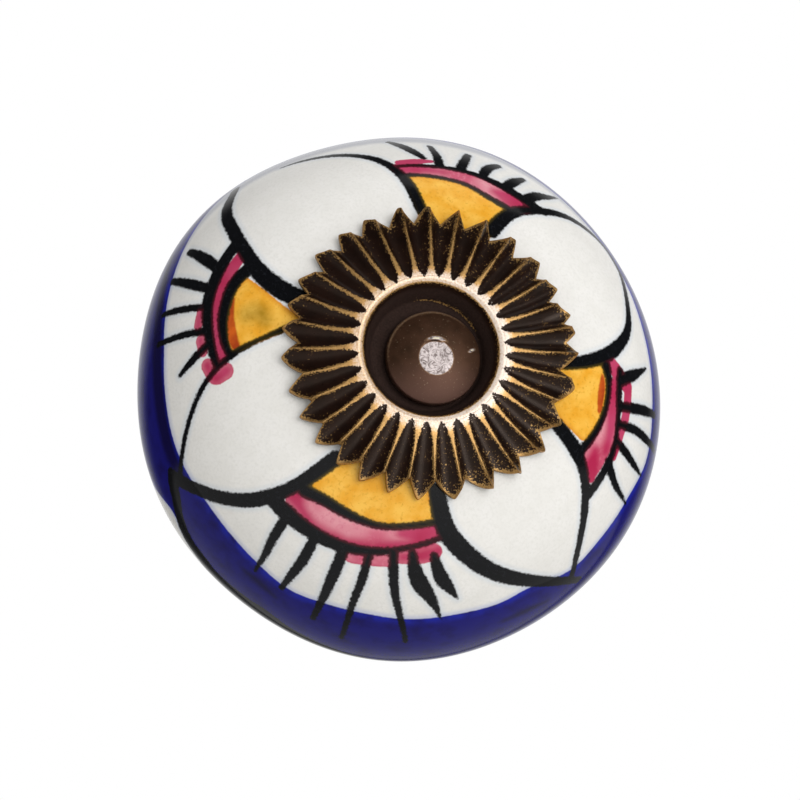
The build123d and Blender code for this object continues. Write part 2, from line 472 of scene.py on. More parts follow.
def bronzed_steel():
    """Turned steel with a brown oxide bronzing: a soft brown metal sheen with fine flecks, and a painted
    sheen that makes its lower side paler and redder. The ground spot on the dome shows bare grey steel with
    the marks of the grinding; above it lie a painted sickle of highlight with a thin painted shadow under it,
    beside it a fresh pale chip, and an arc of the rim at the upper left is painted lighter as a highlight."""
    material, tree, shader = start_material("brown_bronzed_turned_steel")
    place = add(tree, "TexCoord", {}, "Object")
    mottle, specks, marks = (
        add(
            tree,
            "TexNoise",
            {"Vector": place, "Scale": per_mm(size), "Detail": detail, "Distortion": distortion},
        )
        for size, detail, distortion in ((0.9, 4, 0), (0.14, 2, 0), (0.5, 4, 2.5))
    )
    ground = add(tree, "Attribute", {}, "Fac", attribute_name="ground")
    painted_sheen_height = add(tree, "SeparateXYZ", {"Vector": place}, "Z")
    # The ground layer carries the ground spot and the chip, and also the painted highlights and shadow line
    wear_and_painted_light = add(tree, "Math", {0: specks, 1: 0.35, 2: ground}, operation="MULTIPLY_ADD")
    bright = add(tree, "MapRange", {"Value": wear_and_painted_light, "From Min": 0.6, "From Max": 0.75})
    steel = coated(tree, "#756966", ("#C8BDBB", marks, 0.36, 0.56))
    colour = coated(
        tree,
        "#33210F",
        ("#60402E", mottle),
        # Painted sheen: paler and redder towards the lower side
        ("#66493E", painted_sheen_height, -0.2 * MM, -2.8 * MM),
        ("#8C7660", specks, 0.66, 0.76),
        # Lighter brown at the edge of the ground spot and on the painted highlight along the rim
        ("#94755A", wear_and_painted_light, 0.28, 0.6),
        (steel, bright),
        # Painted shadow line under the sickle of highlight
        ("#120B08", wear_and_painted_light, -0.1, -0.6),
        # Near white on the fresh chip and on the painted sickle of highlight above the ground spot
        ("#F2E8CC", wear_and_painted_light, 1.35, 1.5),
    )
    height = add(tree, "Math", {0: marks, 1: bright}, operation="MULTIPLY")
    surface = {
        "Base Color": colour,
        "Metallic": 0.7,
        "Roughness": add(tree, "MapRange", {"Value": mottle, "To Min": 0.4, "To Max": 0.55}),
        "Normal": add(tree, "Bump", {"Height": height, "Strength": 0.4, "Distance": 0.05 * MM}),
    }
    feed(tree, shader, surface)
    return material


def zinc_plated_steel():
    """Rolled steel with a bright zinc plating: pale blue-grey metal, a little cloudy, with fine lines."""
    material, tree, shader = start_material("zinc_plated_steel")
    place = add(tree, "TexCoord", {}, "Object")
    stretched = add(tree, "Mapping", {"Vector": place, "Scale": (1, 12, 1)})
    cloud, lines = (
        add(tree, "TexNoise", {"Vector": where, "Scale": per_mm(size), "Detail": detail})
        for where, size, detail in ((place, 1.8, 3), (stretched, 0.8, 2))
    )
    surface = {
        "Base Color": coated(tree, "#A9ACAE", ("#CFCFC9", cloud)),
        "Metallic": 1.0,
        "Roughness": add(tree, "MapRange", {"Value": lines, "To Min": 0.25, "To Max": 0.45}),
        "Normal": add(tree, "Bump", {"Height": lines, "Strength": 0.15, "Distance": 0.03 * MM}),
    }
    feed(tree, shader, surface)
    return material


# Painting, as points (face angle in degrees, radius in mm, brush width in mm) given on the knob's
# face. Angles run counter-clockwise from the right as seen from the front.

petal_lines = [
    [(92, 11.4, 1.0), (95, 13.7, 0.95), (98, 15.2, 0.8), (102, 16.45, 0.7), (108, 17.55, 0.6),
     (113.5, 18.2, 0.55), (118, 18.6, 0.45), (122, 18.85, 0.2)],
    [(132, 19.5, 0.8), (140, 18.4, 1.0), (145, 16.8, 1.1), (149.5, 15.2, 1.2), (153.5, 13.6, 1.4),
     (156, 11.9, 1.5), (157, 10.2, 1.4)],
    [(169.5, 10.5, 0.6), (175, 12.4, 0.45), (180, 14.4, 0.6), (187, 16.3, 0.5), (197, 18, 0.45),
     (206, 19.2, 0.5)],
    [(203.5, 19.4, 1.1), (208.5, 18.75, 1.1), (215, 17.6, 1.1), (220.5, 16.1, 1.15), (225, 13.8, 1.1),
     (228.5, 10.4, 1.2)],
    [(273.5, 10, 1.3), (276.5, 12.6, 1.5), (284, 14.8, 1.4), (291, 16.3, 1.25), (300, 17.7, 1.1),
     (312, 19.4, 0.7)],
    [(335.5, 10.5, 1.1), (331.5, 12.7, 1.15), (327, 14.4, 0.9), (320, 16.1, 0.75), (314, 17.6, 0.65),
     (310, 18.9, 0.6)],
    [(0.5, 10.2, 0.9), (3, 12.4, 1.1), (6.5, 14.3, 1.15), (13, 16.2, 0.85), (21.5, 17.3, 0.65),
     (29, 18.2, 0.6)],
    [(29, 18.2, 0.6), (37, 18.3, 0.6), (46, 17.2, 0.65), (53, 15.6, 0.75), (61, 13.5, 1.1),
     (64.5, 11.2, 1.3)],
]

arch_lines = [
    [(152, 14.6, 1.1), (159, 15.2, 1.15), (168, 15.25, 1.0), (175, 14.95, 0.8), (180, 14.5, 0.6)],
    [(147, 16.4, 1.0), (155, 16.5, 1.15), (164, 16.5, 1.15), (172, 16.1, 1.0), (182, 15.4, 0.7)],
    [(228, 13.45, 1.1), (235, 13.1, 0.95), (242, 13.05, 0.85), (254, 12.95, 0.6), (264, 12.5, 0.6),
     (273, 12.1, 0.6)],
    [(223, 15.4, 1.0), (228, 15.3, 1.35), (233, 15.3, 1.25), (246, 15.1, 1.0), (257, 14.55, 0.7),
     (265, 13.95, 0.5), (275, 13.2, 0.5)],
    [(362, 13.7, 1.0), (357, 13.95, 0.7), (349, 13.95, 0.6), (341, 13.7, 0.7), (332, 13.2, 0.8)],
    [(361, 14.95, 0.8), (354, 14.9, 0.7), (346, 15.2, 0.55), (338, 15.55, 0.7), (324, 15.5, 0.8)],
    [(97, 14.6, 0.45), (85, 14.45, 0.45), (77, 14.3, 0.5), (69, 13.85, 0.6), (61, 13.7, 0.7)],
    [(97, 15.45, 0.4), (85, 15.5, 0.5), (75, 15.55, 0.6), (65, 15.4, 0.9), (57, 15.3, 1.0), (53, 15.5, 0.8)],
]

lashes = [
    [(155, 16.7, 0.9), (153, 17.9, 0.95), (151.5, 19, 0.6)],
    [(161, 16.7, 0.8), (160, 18, 0.85), (159, 19.2, 0.6)],
    [(166, 16.5, 0.6), (166.5, 18, 0.6), (167, 19.2, 0.5)],
    [(172.5, 16, 0.7), (173, 17.5, 0.6), (174, 19.2, 0.5)],
    [(176, 15.9, 0.8), (180, 17, 0.65), (183, 17.8, 0.4)],
    [(229.5, 15.7, 0.8), (230.5, 17.1, 0.75), (231.5, 18.1, 0.55), (232, 19, 0.3)],
    [(239, 15.6, 0.8), (239.5, 17.1, 0.85), (239, 18.9, 0.5)],
    [(247.5, 15.4, 0.9), (248, 17.3, 0.85), (248.5, 19.4, 0.45)],
    [(254.5, 15, 0.7), (255, 16.6, 0.7), (255, 17.9, 0.6), (256, 19.7, 0.4)],
    [(261, 14.5, 0.8), (263, 16.2, 0.75), (265, 17.4, 0.6), (269.5, 19.4, 0.4)],
    [(266.5, 14.3, 0.7), (268, 15.4, 1.1), (270, 16.2, 1.3), (273, 17, 0.9), (276.5, 18.3, 0.15)],
    [(273, 14.4, 0.7), (274.5, 15.4, 1.0), (276, 16, 1.1), (278, 16.6, 0.7), (280, 17.2, 0.15)],
    [(358.5, 15, 1.1), (361, 16.2, 0.9), (362.5, 16.9, 0.55), (364, 17.6, 0.2)],
    [(351, 15.1, 0.8), (352, 16.2, 0.85), (353, 17.3, 0.85), (354, 18.6, 0.6)],
    [(346, 15.3, 0.7), (347, 16.7, 0.75), (347, 18.1, 0.7), (347, 19.3, 0.5)],
    [(341.5, 15.5, 0.7), (340.5, 16.4, 0.75), (339.5, 17.5, 0.6), (339, 18.6, 0.25)],
    [(335, 15.5, 0.8), (333, 16.2, 0.75), (331.5, 17.1, 0.6), (331, 18.4, 0.2)],
    [(89, 16.3, 0.5), (91, 16.9, 0.8), (93.5, 17.7, 0.8), (96, 18.4, 0.5)],
    [(85, 15.7, 0.8), (85.3, 16.6, 0.7), (86.5, 17.8, 0.5)],
    [(79, 15.7, 0.8), (78, 16.6, 0.8), (77, 17.5, 0.6)],
    [(72.5, 15.9, 0.8), (71.5, 16.7, 0.8), (69, 17.5, 0.6)],
    [(65.5, 15.6, 0.9), (64, 16.5, 0.85), (62, 17.4, 0.5)],
    [(59, 15.5, 1.0), (57, 16.5, 0.9), (54.5, 17.3, 0.6), (52.5, 18.1, 0.2)],
]

rose_strokes = [
    [(228.5, 14.3, 1.7), (238, 14.2, 2.0), (250, 14, 2.0), (262, 13.4, 1.7), (273, 12.9, 1.3)],
    [(250, 15.5, 0.9), (260, 15, 1.0)],
    [(262, 14.6, 1.2), (269, 14.35, 1.4), (272.5, 14.15, 1.3), (273.8, 14.05, 0.8)],
    [(356, 14.5, 1.2), (347, 14.6, 1.3), (340, 14.6, 1.8), (334, 14.4, 2.1), (329, 14.7, 1.2)],
    [(167, 16.8, 0.8), (171, 16.8, 0.8)],
    [(175, 16.5, 0.9), (178, 16.3, 0.9)],
    [(182, 16, 1.1), (185.5, 15.5, 1.2), (184.5, 14.8, 1.3)],
    [(96, 15.1, 1.1), (85, 15, 1.2), (76, 14.85, 1.4), (66, 14.5, 1.6), (60, 14.5, 1.5)],
]

crimson_strokes = [
    [(150, 15.6, 1.0), (158, 15.85, 1.1), (168, 15.8, 1.0), (180, 15.1, 1.1)],
    [(167, 16.8, 0.2), (171, 16.8, 0.2)],
    [(175, 16.5, 0.2), (178, 16.3, 0.2)],
    [(182, 16, 0.3), (185.5, 15.5, 0.4), (184.5, 14.8, 0.5)],
    [(227.5, 14.2, 0.8), (231, 14.5, 0.3), (238, 14.9, 0.15), (247, 14.8, 0.2), (255, 14.4, 0.2)],
    [(262, 13.1, 0.3), (268, 13, 0.9), (274, 12.8, 1.2)],
    [(264, 14.6, 0.2), (270, 14.35, 0.4), (274, 14.05, 0.4)],
    [(256, 14.3, 0.3), (266, 13.7, 0.5), (275, 13.1, 0.4)],
    [(363, 14.1, 1.2), (360, 14.8, 1.3), (357, 15.5, 1.0)],
    [(357.5, 15.7, 0.9), (349, 15.75, 0.9), (344, 15.7, 0.7), (337, 15.8, 0.5)],
    [(335, 14.2, 0.2), (331, 14.5, 0.8), (328, 14.9, 0.9)],
    [(357, 14.4, 0.8), (350, 14.55, 0.8), (343, 14.8, 0.5), (337, 15, 0.3)],
    [(97, 15.3, 1.0), (91, 15.1, 0.6), (84, 15, 0.1)],
    [(68, 14.6, 0.2), (63, 14.6, 1.2), (59, 14.6, 1.4)],
    [(96, 15.8, 0.7), (91, 15.9, 0.7), (87, 16, 0.4)],
]

amber_strokes = [
    [(163, 14.85, 0.3), (168, 14.75, 0.6), (174, 14.4, 0.8), (178, 14, 0.6)],
    [(358.5, 13.4, 0.3), (355, 13.4, 0.6), (351, 13.4, 0.6), (347, 13.5, 0.4)],
    [(356, 14.35, 0.25), (351, 14.45, 0.25)],
]

smudges = [
    [(167, 13.6, 0.7), (166, 12.9, 0.9), (168, 12.3, 0.5)],
    [(152, 19.9, 0.6), (165, 19.5, 1.0), (178, 19.2, 1.3), (190, 19.1, 1.3), (199, 19.1, 1.2),
     (206, 19, 0.8)],
    [(230, 19.3, 0.1), (234, 19.3, 0.5), (239, 19.4, 0.2)],
    [(292, 19.2, 0.1), (298, 19.2, 0.5), (303, 19.3, 0.1)],
]

# Milky grey along the top of the rim: a painted reflection of the glaze at its edge, laid as strokes
painted_reflection_strokes = [
    [(10, 19.3, 3.2), (30, 19.2, 4.0), (45, 19.2, 5.0), (60, 19.2, 5.0), (75, 19.2, 5.0), (90, 19.2, 4.4),
     (110, 19.3, 3.6), (135, 19.6, 2.6), (150, 19.7, 2)],
]

ochre_fields = [
    [(155.5, 14.6), (158, 12.9), (162, 11), (164.5, 9.8), (169, 9.8), (173, 11.2), (176.5, 12.6), (179, 14.2),
     (172, 14.9), (163, 15.1)],
    [(227.5, 13.4), (228, 12), (229.5, 10.5), (232, 9.4), (266, 9.3), (271, 10.5), (273, 12.2), (261, 12.8),
     (247, 13), (237, 13)],
    [(339, 9.6), (358, 9.4), (361, 11.7), (363, 13.6), (355, 13.95), (347, 13.9), (341, 13.65), (335.5, 13.1),
     (336, 12)],
    [(96.5, 14.4), (88, 14.5), (80, 14.35), (73, 14.1), (62, 13.7), (64.5, 12), (66, 9.8), (94, 9.2),
     (93.5, 11.5)],
]

# Inner edge of the cobalt band, as (face angle, radius)
cobalt_edge = [
    (0, 18.2), (14, 18.1), (30, 18.3), (60, 18.6), (75, 18.9), (95, 19.2), (115, 19.5), (129, 19.7),
    (138, 19.65), (146, 19.5), (153.5, 19.35), (163, 19.15), (171, 18.95), (177, 18.8), (187.5, 18.75),
    (195, 18.75), (202, 18.7), (213, 18.5), (221, 18.5), (230, 18.6), (240.5, 18.75), (249.5, 18.5),
    (259, 18.3), (268, 18.25), (280, 18.1), (290.5, 18.1), (298, 17.95), (303.5, 18.2), (311.5, 18.5),
    (319, 18.35), (326, 18.3), (332, 18.3), (336, 18.4), (342, 18.6), (348, 18.5), (354, 18.3),
]

# Rear edge of the cobalt band, as (face angle, travel in mm from the equator towards the front), and the
# black line that borders it from the lower left to the bottom, as (face angle, travel, brush width)
cobalt_rear = [
    (0, -3.2), (90, -3.4), (150, -3.1), (172, -2.9), (187, -2.5), (197, -1.8), (202, -0.9), (205.5, 0.2),
    (209, 1.0), (211.5, 1.0), (214, 0.5), (217, 0), (221.5, -0.6), (226, -1.5), (252, -1.8), (270, -2.2),
    (285, -3.0), (320, -3.4), (360, -3.2),
]
rim_line = [
    (202, 3.9, 0.3), (204, 3.6, 1.3), (208, 2.9, 1.3), (210.5, 2.15, 1.2), (213.5, 1.25, 1.3),
    (217, 0.5, 1.6), (221.5, 0, 2.0), (226, -0.6, 2.4), (235, -0.5, 2.8), (239.5, -0.4, 3.0),
    (244.5, -0.7, 2.6), (252, -0.9, 2.2), (264, -1.3, 1.8), (280, -2.0, 1.2), (295, -2.6, 0.3),
]

# Where the rosette's teeth point, as face angles in degrees, and which of them are bent forward, in mm
tooth_tips = [
    3, 11, 18, 29.5, 41.5, 54, 67, 78.5, 91, 102, 115.5, 127, 139.5, 151.5, 162,
    172, 183.5, 197, 208, 219.5, 231, 242, 254, 266, 280.5, 295.5, 308.5, 322, 335, 350,
]
bent_up = [-0.1, 0.2, 0.5] + [0.0] * 27


def on_glaze(angle, radius):
    """Points of the glazed front at face angles in degrees and radii."""
    turn = np.radians(angle)
    return np.stack([radius * np.cos(turn), -glaze_height(radius), radius * np.sin(turn)], axis=-1)


def smooth_through(points, steps=8):
    """Catmull-Rom curve: between two points, the cubic whose end slopes follow the points on either side."""
    points = np.array(points, float)
    lead = 2 * points[0] - points[1]
    trail = 2 * points[-1] - points[-2]
    chain = np.vstack([lead, points, trail])
    before, start, end, after = (chain[k:len(chain) - 3 + k, None] for k in range(4))
    t = np.linspace(0, 1, steps, endpoint=False)[None, :, None]
    cubic = (
        2 * start
        + (end - before) * t
        + (2 * before - 5 * start + 4 * end - after) * t**2
        + (3 * start - before - 3 * end + after) * t**3
    ) / 2
    return np.vstack([cubic.reshape(-1, points.shape[1]), points[-1:]])


def span_distance(spots, start, end):
    """Distance from each spot to a straight span, and how far along the span its nearest point lies."""
    way = end - start
    share = np.clip((spots - start) @ way / (way @ way), 0, 1)
    return np.linalg.norm(spots - start - share[:, None] * way, axis=1), share


def stroke_distance(spots, strokes):
    """Signed distance from spots on the glaze to the nearest brush stroke, negative inside it: the distance
    to each short span of the stroke's curve, less half the brush width at that place."""
    nearest = np.full(len(spots), FAR)
    for stroke in strokes:
        curve = smooth_through(stroke)
        places = on_glaze(curve[:, 0], curve[:, 1])
        half = curve[:, 2] / 2
        for k in range(len(curve) - 1):
            away, share = span_distance(spots, places[k], places[k + 1])
            nearest = np.minimum(nearest, away - half[k] - share * (half[k + 1] - half[k]))
    return nearest


def field_distance(spots, fields):
    """Signed distance from spots to the outline of painted fields as seen from the front, negative inside,
    where inside means that a line from the spot to the right crosses the outline an odd number of times."""
    nearest = np.full(len(spots), FAR)
    flat = spots[:, [0, 2]]
    for field in fields:
        outline = smooth_through(field + field[:1], 5)
        corner = on_glaze(outline[:, 0], outline[:, 1])[:, [0, 2]]
        away = np.full(len(spots), FAR)
        inside = np.zeros(len(spots), bool)
        for start, end in zip(corner[:-1], corner[1:]):
            away = np.minimum(away, span_distance(flat, start, end)[0])
            crosses = (start[1] > flat[:, 1]) != (end[1] > flat[:, 1])
            rise = end[1] - start[1]
            at = start[0] + (flat[:, 1] - start[1]) * (end[0] - start[0]) / (rise if rise else 1e-9)
            inside ^= crosses & (flat[:, 0] < at)
        nearest = np.minimum(nearest, np.where(inside, -away, away))
    return nearest


# Pieces

def glazed_body(material):
    """Body of revolution: bore, foot, rear cone, rear edge arc, shoulder arc, crown arc and pocket, as one
    loop. The rim is a little out of round, by low waves of the angle, as a cast and hand-finished body is.
    Its painted layers go along as signed distances."""
    columns = 720
    paint_step = 0.18
    covered_radius = 9.0
    covered_angle = acos(covered_radius / crown_radius)
    mouth_angle = acos(pocket_mouth_radius / crown_radius)
    rear_centre = (knob_radius - rear_edge_radius, equator_height)
    to_foot = (foot_radius - rear_centre[0], foot_height - rear_centre[1])
    rear_angle = atan2(to_foot[1], to_foot[0]) + acos(rear_edge_radius / hypot(*to_foot))

    rear = arc(rear_centre, rear_edge_radius, rear_angle, 0, 26)
    foot = rounded([
        (body_hole_radius, foot_height, 0),
        (foot_radius, foot_height, foot_round),
        (*rear[0], 0),
    ])
    shoulder_steps = int(shoulder_radius * shoulder_angle / paint_step)
    shoulder = arc(shoulder_centre, shoulder_radius, 0, shoulder_angle, shoulder_steps)
    crown_steps = int(crown_radius * (covered_angle - shoulder_angle) / paint_step)
    crown = arc(crown_centre, crown_radius, shoulder_angle, covered_angle, crown_steps)
    hidden = arc(crown_centre, crown_radius, covered_angle, mouth_angle, 5)
    pocket = [(pocket_floor_radius, rosette_base), (body_hole_radius, rosette_base)]
    parts = [foot[:-1], rear[:-1], shoulder[:-1], crown[:-1], hidden, pocket]
    profile = np.vstack(parts)
    grid = turned(profile, columns)
    angle = angles(columns)
    face_angle = np.degrees(angle)

    # Where along the outside a row lies: zero on the equator, growing towards the front
    steps = np.linalg.norm(np.diff(profile, axis=0), axis=1)
    travel = np.concatenate([[0], np.cumsum(steps)])[:, None]
    equator_row = len(parts[0]) + len(parts[1])
    travel = travel - travel[equator_row]
    front = slice(equator_row, equator_row + len(parts[2]) + len(parts[3]) + len(parts[4]))

    spots = grid[front].reshape(-1, 3)
    strokes = {
        "ink": petal_lines + arch_lines + lashes,
        "rose": rose_strokes + crimson_strokes,
        "crimson": crimson_strokes,
        "amber": amber_strokes,
        "smudge": smudges,
        "wash": painted_reflection_strokes,
    }
    painted = {layer: stroke_distance(spots, lines) for layer, lines in strokes.items()}
    painted["ochre"] = field_distance(spots, ochre_fields)
    layers = {}
    for layer, distance in painted.items():
        layers[layer] = np.full(grid.shape[:2], FAR)
        layers[layer][front] = distance.reshape(-1, columns)

    # The cobalt band lies between its two edges
    edge = smooth_through(cobalt_edge + [(360, cobalt_edge[0][1])], 4)
    edge_radius = np.interp(face_angle, edge[:, 0], edge[:, 1])
    edge_travel = np.interp(-edge_radius, -profile[front, 0], travel[front, 0])
    rear_edge = smooth_through(cobalt_rear, 4)
    rear_travel = np.interp(face_angle, rear_edge[:, 0], rear_edge[:, 1])
    layers["cobalt"] = np.clip(np.maximum(travel - edge_travel, rear_travel - travel), -FAR, FAR)

    # The line along the rim: how far a row lies from it, less half its width, and far away past its ends
    line = smooth_through(rim_line, 4)
    line_travel = np.interp(face_angle, line[:, 0], line[:, 1])
    line_half = np.interp(face_angle, line[:, 0], line[:, 2] / 2, left=-FAR, right=-FAR)
    slant = np.gradient(line_travel, axis=1) / (knob_radius * FULL_TURN / columns)
    from_line = np.abs(travel - line_travel) / np.hypot(1, slant) - line_half
    layers["ink"] = np.minimum(layers["ink"], from_line)
    # How far each row lies from the equator, which the glaze uses to paint shade on the underside of the rim
    layers["travel"] = travel + 0 * angle

    # A cast body is never quite round: slow waves, a little inward on the whole, and none near the rosette
    steady_radius = 13
    shrinkage = 0.035
    loose = ramp(profile[:, :1], steady_radius, knob_radius) ** 2
    order = np.arange(1, len(out_of_round) + 1)[:, None]
    across, up = np.array(out_of_round).T[..., None]
    waves = (across * np.cos(order * angle) + up * np.sin(order * angle)).sum(axis=0) - shrinkage
    grid = grid + (loose * waves)[..., None] * around(1, 0, angle)
    add_piece("glazed_body", grid, material, "ceramic_body", loop=True, layers=layers)


def pressed_rosette(material):
    """Pressed sheet: a traced dish and bead of revolution, then a skirt whose height is the lower of the
    ridge cone and the hollow of the nearest flute, a cone lying on its lower edge, out to a serrated edge.
    The back of the skirt is the same surface one sheet lower."""
    columns = 960
    angle = angles(columns)
    rng = np.random.default_rng(4)

    middle = sheet / 2
    corner_steps = 10
    corners = [
        (rosette_hole_radius, dish_floor_height - middle, 0),
        (dish_floor_radius, dish_floor_height - middle, dish_round),
        (bead_radius, bead_height - middle, bead_round),
        (skirt_radius, skirt_height - middle, 0),
    ]
    section = rounded(corners, corner_steps)
    # The wall starts after the hole's edge and the floor's rounded corner with a held point on each side
    wall_foot = 1 + corner_steps + 2
    wall = run(section[wall_foot - 1], section[wall_foot], 5)
    section = np.vstack([section[:wall_foot], wall, section[wall_foot:]])
    slope = np.gradient(section, axis=0)
    normal = np.stack([-slope[:, 1], slope[:, 0]], axis=1) / np.linalg.norm(slope, axis=1)[:, None]
    dish_top = section + normal * middle
    dish_back = section - normal * middle

    # Teeth: points at angles seen on the knob, each with its own length, curl and steep side
    lean = 0.2
    lean_turn = radians(12)
    shortfall = 0.22
    longest_turn = 0.8
    blunt_tip = 0.1
    tips = np.radians(tooth_tips)
    count = len(tips)
    before = (np.searchsorted(tips, angle[0], side="right") - 1) % count
    after = (before + 1) % count
    gap = (tips[after] - tips[before]) % FULL_TURN
    along = ((angle[0] - tips[before]) % FULL_TURN) / gap
    notch = 0.5 + lean * np.sin(2 * tips + lean_turn)[before] + rng.uniform(-0.05, 0.05, count)[before]
    fall = np.where(along < notch, along / notch, (1 - along) / (1 - notch))
    short = shortfall - shortfall * np.cos(tips - longest_turn) + rng.uniform(0, 0.12, count)
    curl = rng.uniform(-0.08, 0.12, count) + bent_up
    depth = tooth_depth * np.minimum(1, gap * count / FULL_TURN) * rng.uniform(1.0, 1.25, count)[before]
    edge_radius = tip_radius - depth * (np.sqrt(fall**2 + blunt_tip**2) - blunt_tip)
    edge_radius = edge_radius - short[before] * (1 - along) - short[after] * along
    lift = curl[before] * (1 - along) + curl[after] * along

    # Flutes, which drift round a little towards the bottom and crowd together at the lower right
    crowded_turn = radians(335)
    blunt = 0.03
    share = np.linspace(0, 1, 36)[1:, None] ** 1.3
    radius = skirt_radius + (edge_radius - skirt_radius) * share
    skirt_run = tip_radius - skirt_radius
    trough_slope = float(glaze_height(tip_radius) - glaze_height(skirt_radius)) / skirt_run
    ridge_slope = trough_slope + flute_depth / skirt_run
    out = radius - skirt_radius
    ridge = skirt_height + ridge_slope * out
    trough = skirt_height + trough_slope * out
    half_chord = tip_radius * tan(pi / flute_count) - ridge_width / 2
    tip_flute_radius = (half_chord**2 + flute_depth**2) / (2 * flute_depth)
    flute = flute_nose_radius + (tip_flute_radius - flute_nose_radius) * out / skirt_run
    pitch = FULL_TURN / flute_count
    crowding = bell(turn_from(angle, crowded_turn), 0, radians(38))
    drift = radians(0.8) * (1 - np.sin(angle)) + radians(3.4) * crowding
    from_ridge = (angle - drift - pi / 2 + pitch / 2) % pitch - pitch / 2
    from_trough = radius * np.sin(pitch / 2 - np.abs(from_ridge))
    hollow = trough + flute - np.sqrt(np.maximum(flute**2 - from_trough**2, 0))
    flat_height = (ridge + hollow - np.sqrt((ridge - hollow) ** 2 + blunt**2)) / 2 + blunt / 2
    height = flat_height + lift * ramp(radius, tip_radius - 2 * tooth_depth, tip_radius) ** 2

    # The hidden back takes fewer rows than the front
    cut_bulge = 0.05
    skirt_top = around(radius, height, angle)
    rim = around(edge_radius + cut_bulge, height[-1:] - middle, angle)
    skirt_back = around(radius, height - sheet, angle)[::-4]
    dish_rows = turned(dish_top, columns)
    grid = np.concatenate([dish_rows, skirt_top, rim, skirt_back, turned(dish_back, columns)[::-3]])

    # Wear: the bead, the ridges and the cut edges are rubbed bright, widest where the ridges meet the bead
    ridge_rub, root_rub, root_run = 0.14, 0.42, 0.42
    gritty_turn, speckled_turn = radians(300), radians(75)
    dish_radius, dish_height = dish_top[:, :1], dish_top[:, 1:]
    face_radius = np.concatenate([dish_radius + 0 * angle, radius])
    past_bead = face_radius - lancet_radius
    rubbed_width = ridge_rub + root_rub * np.exp(-np.maximum(past_bead, 0) / root_run)
    from_crest = np.where(past_bead > 0, face_radius * np.abs(from_ridge), 0)
    faded = np.clip(1.06 - 0.085 * past_bead, 0, 1)
    ridge_wear = np.clip(0.55 + (rubbed_width - from_crest) / 0.28, 0, 1) * faded
    from_edge = edge_radius - face_radius
    gritty = bell(turn_from(angle, gritty_turn), 0, radians(70))
    gritty = gritty + 0.8 * bell(angle, speckled_turn, radians(40))
    tip_wear = 0.5 * ramp(from_edge, 0.3, 0) + 0.2 * ramp(from_edge, 1.3, 0)
    wear = np.maximum(ridge_wear, (tip_wear + 0.09 + 0.15 * gritty) * ramp(past_bead, 0, 0.1))

    # In the dish only the lip is rubbed, and it carries a painted highlight; one arc at the foot of its wall
    # is
    #     scuffed, and the rest is grimy. The pairs are the radii at which each starts and is full.
    rubbed_lip, highlight_lip, grimy = (4.86, 5.21), (5.06, 5.16), (4.9, 4.7)
    lip_depth = 0.5
    scuff_radius, scuff_turn = 4.22, 1.13
    bead_wear = ramp(dish_radius, *rubbed_lip) * (dish_height > bead_height - lip_depth)
    scuff = 0.66 * bell(dish_radius, scuff_radius, 0.08) * bell(angle, scuff_turn, 0.75, 4)
    in_dish = slice(0, len(dish_top))
    wear[in_dish] = np.maximum(np.minimum(bead_wear, wear[in_dish]), scuff)
    # Painted highlight on the lip and on the roots of the ridges just past it, brighter towards the right
    painted_highlight = ramp(face_radius, *highlight_lip) * np.clip(1.5 - past_bead / 0.75, 0, 1)
    painted_highlight = painted_highlight * (0.82 + 0.18 * np.cos(angle + radians(10)))
    grime = ramp(face_radius, *grimy)
    hidden = np.zeros((len(grid) - len(wear) - 1, columns))
    layers = {}
    for layer, face, cut_edge in (("wear", wear, 0.55), ("painted_highlight", painted_highlight, 0), ("grime", grime, 0)):
        layers[layer] = np.concatenate([face, np.full((1, columns), cut_edge), hidden])

    # The dish was pressed a little off the middle of the teeth
    steady, shifted = 8.0, 5.5
    inward = ramp(np.hypot(grid[..., 0], grid[..., 2]), steady, shifted)[..., None]
    grid = grid + rosette_shift + inward * dish_shift
    add_piece("pressed_rosette", grid, material, "front_rosette", loop=True, layers=layers, crease=60)


def thread_groove(height, angle):
    """Thread form, 0 on the crest and 1 in the groove, once a pitch, one pitch further on with each turn."""
    phase = (height / thread_pitch + angle / FULL_TURN) % 1
    return np.clip(1.25 - np.abs(4 * phase - 2), 0, 1)


